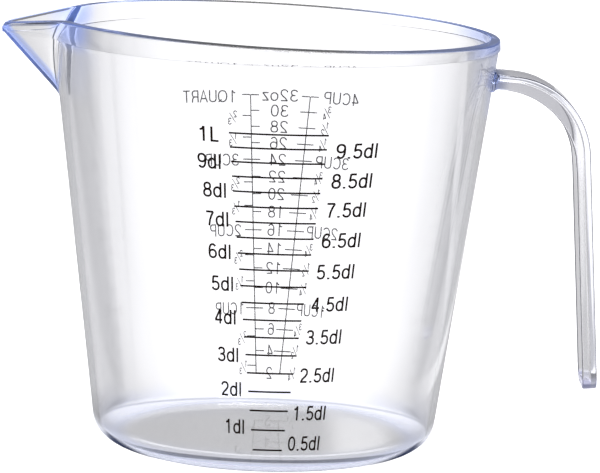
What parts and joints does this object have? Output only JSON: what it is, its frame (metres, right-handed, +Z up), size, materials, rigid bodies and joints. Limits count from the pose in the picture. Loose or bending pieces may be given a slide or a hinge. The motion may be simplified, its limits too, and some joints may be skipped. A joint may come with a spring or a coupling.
{
  "type": "measuring jug",
  "caption": "Clear plastic measuring jug with a tapered round cup, V-shaped pouring spout, open hook handle and printed volume scales on both sides.",
  "frame": {"origin": "centre of the flat underside, on the cup's axis", "axes": "+Z up along the cup's axis, -X towards the spout, +X towards the handle, -Y towards the metric scale and +Y towards the imperial scale"},
  "size_m": [0.1836, 0.135, 0.1286],
  "materials": {
    "clear_plastic": "clear, polished, with a faint blue-violet tint in thick sections",
    "metric_ink": "brown-black pad-printed ink",
    "imperial_ink": "brown-black pad-printed ink, thinner strokes"
  },
  "bodies": {
    "root": {"floor_disc": "clear_plastic", "heel_ring": "clear_plastic", "side_wall": "clear_plastic", "rim_band": "clear_plastic", "spout_keel": "clear_plastic", "spout_near_cheek": "clear_plastic", "spout_far_cheek": "clear_plastic", "spout_nose": "clear_plastic", "spout_near_lip": "clear_plastic", "spout_far_lip": "clear_plastic", "handle_web": "clear_plastic", "handle_near_rib": "clear_plastic", "handle_far_rib": "clear_plastic", "handle_end_wall": "clear_plastic", "decilitre_lines": "metric_ink", "half_decilitre_lines": "metric_ink", "quart_rule": "imperial_ink", "cup_rule": "imperial_ink", "ounce_ticks": "imperial_ink", "quarter_cup_ticks": "imperial_ink", "third_cup_ticks": "imperial_ink"}
  },
  "joints": []
}
